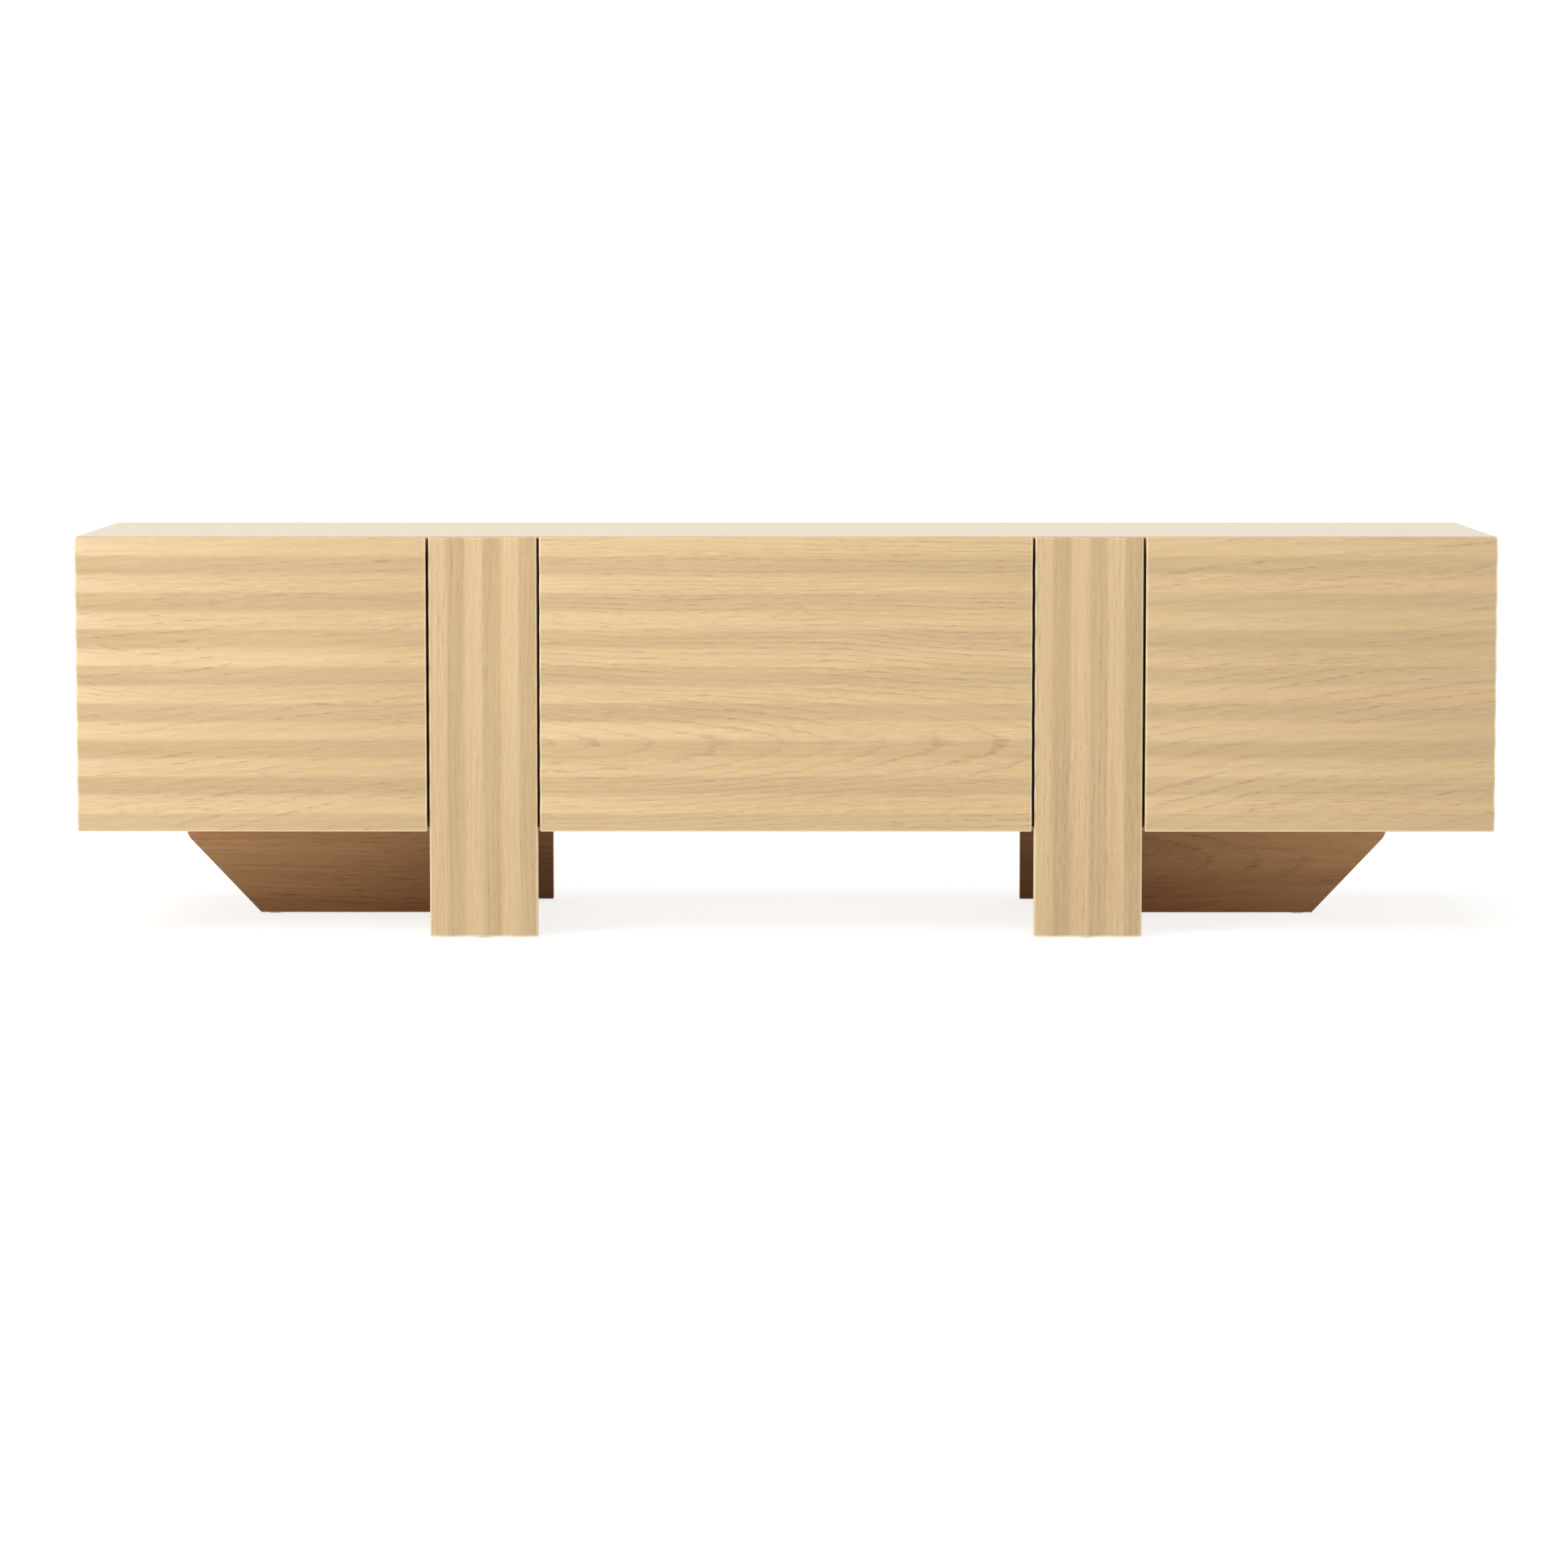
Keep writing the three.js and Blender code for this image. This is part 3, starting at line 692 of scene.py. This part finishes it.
def build_latches():
    for node in sorted(n for n in NODES if n.startswith("latch_")):
        kind, front, side = node.split("_")[1:]
        if kind == "housing":
            dress(node, GREY, HOUSING_EDGE)
            continue
        low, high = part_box(node)
        start = (low + high) / 2
        start.y = high.y
        profile = rounded((high.x - low.x) / 2, high.y - low.y, PLUNGER_ROUND)
        plunger = turned("rounded_" + node.removeprefix("latch_"), profile, start, -Y, 48)
        body = f"{side}_door_plunger" if front == "door" else f"flap_plunger_{side}"
        settle(plunger, GREY, body, node)


def build_glides():
    for node in sorted(n for n in NODES if n.startswith("glide_")):
        low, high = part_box(node)
        top = (low + high) / 2
        top.z = high.z
        profile = rounded((high.x - low.x) / 2, high.z - low.z, GLIDE_EDGE)
        glide = turned("rounded_" + node, profile, top, -Z, 48)
        settle(glide, WHITE, "cabinet", node)


def build_grommets():
    for node in sorted(n for n in NODES if n.startswith("cable_grommet")):
        low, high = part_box(node)
        start = (low + high) / 2
        start.y = low.y
        flange = (high.x - low.x) / 2
        length = high.y - low.y
        under_lip = length - GROMMET_LIP
        centre = length - GROMMET_EDGE  # of the rounded edges
        profile = [(GROMMET_INNER, 0.0), (GROMMET_SLEEVE, 0.0)]
        profile += [(GROMMET_SLEEVE, under_lip), (flange, under_lip)]
        profile += corner(flange - GROMMET_EDGE, centre, GROMMET_EDGE, 0)
        profile += corner(GROMMET_INNER + GROMMET_EDGE, centre, GROMMET_EDGE, 1)
        grommet = turned("rounded_" + node, profile, start, Y)
        settle(grommet, BLACK, "cabinet", node)


def build_shelf_pins():
    """Four steel pins under each shelf, in the boards beside it."""
    profile = rounded(PIN_RADIUS, PIN_REACH, MM)
    for node in sorted(n for n in NODES if n.startswith("shelf_")):
        low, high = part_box(node)
        for side, sign in SIDES.items():
            for row, y in (("front", low.y + PIN_INSET), ("back", high.y - PIN_INSET)):
                foot = Vector((low.x if sign < 0 else high.x, y, low.z - PIN_RADIUS))
                pin = turned(f"pin_{node}_{side}_{row}", profile, foot, -X * sign, 32)
                settle(pin, STEEL, "cabinet")


def build_gap_shade_strips():
    """Painted shade: a black strip along both sides of each post, set in the gap so that the gap looks
    dark. It closes most of the gap to the front beside it.
    """
    bottom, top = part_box("flap_centre")
    for side, sign in SIDES.items():
        low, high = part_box("post_" + side)
        for place, x, way in (("start", low.x, -1), ("end", high.x, 1)):
            front = low.y + SHADE_STRIP_INSET
            back = front + SHADE_STRIP_WIDTH
            nose = x + way * SHADE_STRIP_REACH
            outline = [(x, front, 0), (nose, front + MM, 0), (nose, back - MM, 0), (x, back, 0)]
            start, end = Z * (bottom.z + SHADE_STRIP_ABOVE), Z * (top.z - SHADE_STRIP_BELOW)
            shade_strip = object_from(f"gap_shade_strip_{side}_{place}", prism(outline, start, end))
            bevel(shade_strip, SHADE_STRIP_EDGE, 2, 25)
            bake_modifiers(shade_strip)
            settle(shade_strip, SHADE_STRIP_BLACK, "cabinet")


def build_back_screws():
    """Screws through the centre back panel into the divider on each side."""
    low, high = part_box("back_panel_centre")
    for side in SIDES:
        start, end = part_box("inner_divider_" + side)
        x = (start.x + end.x) / 2
        heights = [low.z + (high.z - low.z) * share for share in BACK_SCREW_PLACES]
        screws("screws_back_" + side, [Vector((x, high.y, z)) for z in heights], Y, "cabinet")


# ---------------------------------------------------------------- stage, light and camera

def build_stage():
    """A wide white floor inside a low white wall all round."""
    work = bmesh.new()
    bmesh.ops.create_circle(work, cap_ends=True, radius=STAGE_RADIUS, segments=STAGE_STEPS)
    floor = object_from("white_floor", work)
    paint(floor, lit_white("floor_white", 0.30, 0.80))

    work = bmesh.new()
    turns = [2 * math.pi * i / STAGE_STEPS for i in range(STAGE_STEPS)]
    ring = [STAGE_RADIUS * (X * math.cos(turn) + Y * math.sin(turn)) for turn in turns]
    low = [work.verts.new(point) for point in ring]
    high = [work.verts.new(point + Z * WALL_HEIGHT) for point in ring]
    for i in range(STAGE_STEPS):
        j = (i + 1) % STAGE_STEPS
        work.faces.new((low[i], low[j], high[j], high[i]))
    backdrop = object_from("white_wall", work)
    shade(backdrop)
    paint(backdrop, lit_white("wall_white", 0.10, 0.98))


def lamp(kind, name, location, target, **settings):
    data = bpy.data.lights.new(name, kind)
    for key, value in settings.items():
        setattr(data, key, value)
    made = bpy.data.objects.new(name, data)
    bpy.context.scene.collection.objects.link(made)
    made.location = location
    made.rotation_euler = (Vector(target) - Vector(location)).to_track_quat("-Z", "Y").to_euler()


def build_light():
    """Even light from all round, soft light from above, and a soft box at the left in front."""
    world = bpy.data.worlds.new("studio")
    bpy.context.scene.world = world
    world.use_nodes = True
    background = world.node_tree.nodes["Background"]
    background.inputs["Color"].default_value = (1, 1, 1, 1)
    background.inputs["Strength"].default_value = 0.40
    lamp("SUN", "overhead", (-0.8, -1.2, 3.4), (0, 0, 0), energy=2.15, angle=math.radians(40))
    soft_box = dict(shape="RECTANGLE", size=1.8, size_y=1.8, energy=95)
    lamp("AREA", "soft_box", (-3.0, -3.2, 2.7), (0, CAD_BOX[0].y, 0.3), **soft_box)


def build_camera():
    data = bpy.data.cameras.new("photo_camera")
    data.sensor_width = SENSOR_WIDTH
    data.lens = LENS
    data.clip_end = 60
    camera = bpy.data.objects.new("photo_camera", data)
    bpy.context.scene.collection.objects.link(camera)
    camera.location = CAMERA_PLACE
    camera.rotation_euler = (math.radians(90 - CAMERA_PITCH), 0, math.radians(CAMERA_TURN))
    bpy.context.scene.camera = camera


def set_view():
    """Plain tones, so that white stays white."""
    settings = bpy.context.scene.view_settings
    settings.view_transform = "Standard"
    settings.look = "None"
    settings.exposure = 0.0


NICKEL = metal("nickel_plate", (0.72, 0.71, 0.69), 0.28)
STEEL = metal("screw_steel", (0.60, 0.60, 0.60), 0.32, 3.0)
GREY = plastic("latch_grey", (0.62, 0.62, 0.60), 0.42)
BLACK = plastic("trim_black", (0.022, 0.022, 0.022), 0.48)
# Near black, for the strips that paint shade into the gaps beside the posts.
SHADE_STRIP_BLACK = plastic("gap_shade_black", (0.006, 0.006, 0.006), 0.75, specular=0.1)
WHITE = plastic("glide_white", (0.78, 0.78, 0.75), 0.45)
SCREW_HEAD = screw_head()

build_fronts()
build_boards()
build_hinges()
build_latches()
build_glides()
build_grommets()
build_shelf_pins()
build_back_screws()
build_gap_shade_strips()
build_stage()
build_light()
build_camera()
set_view()
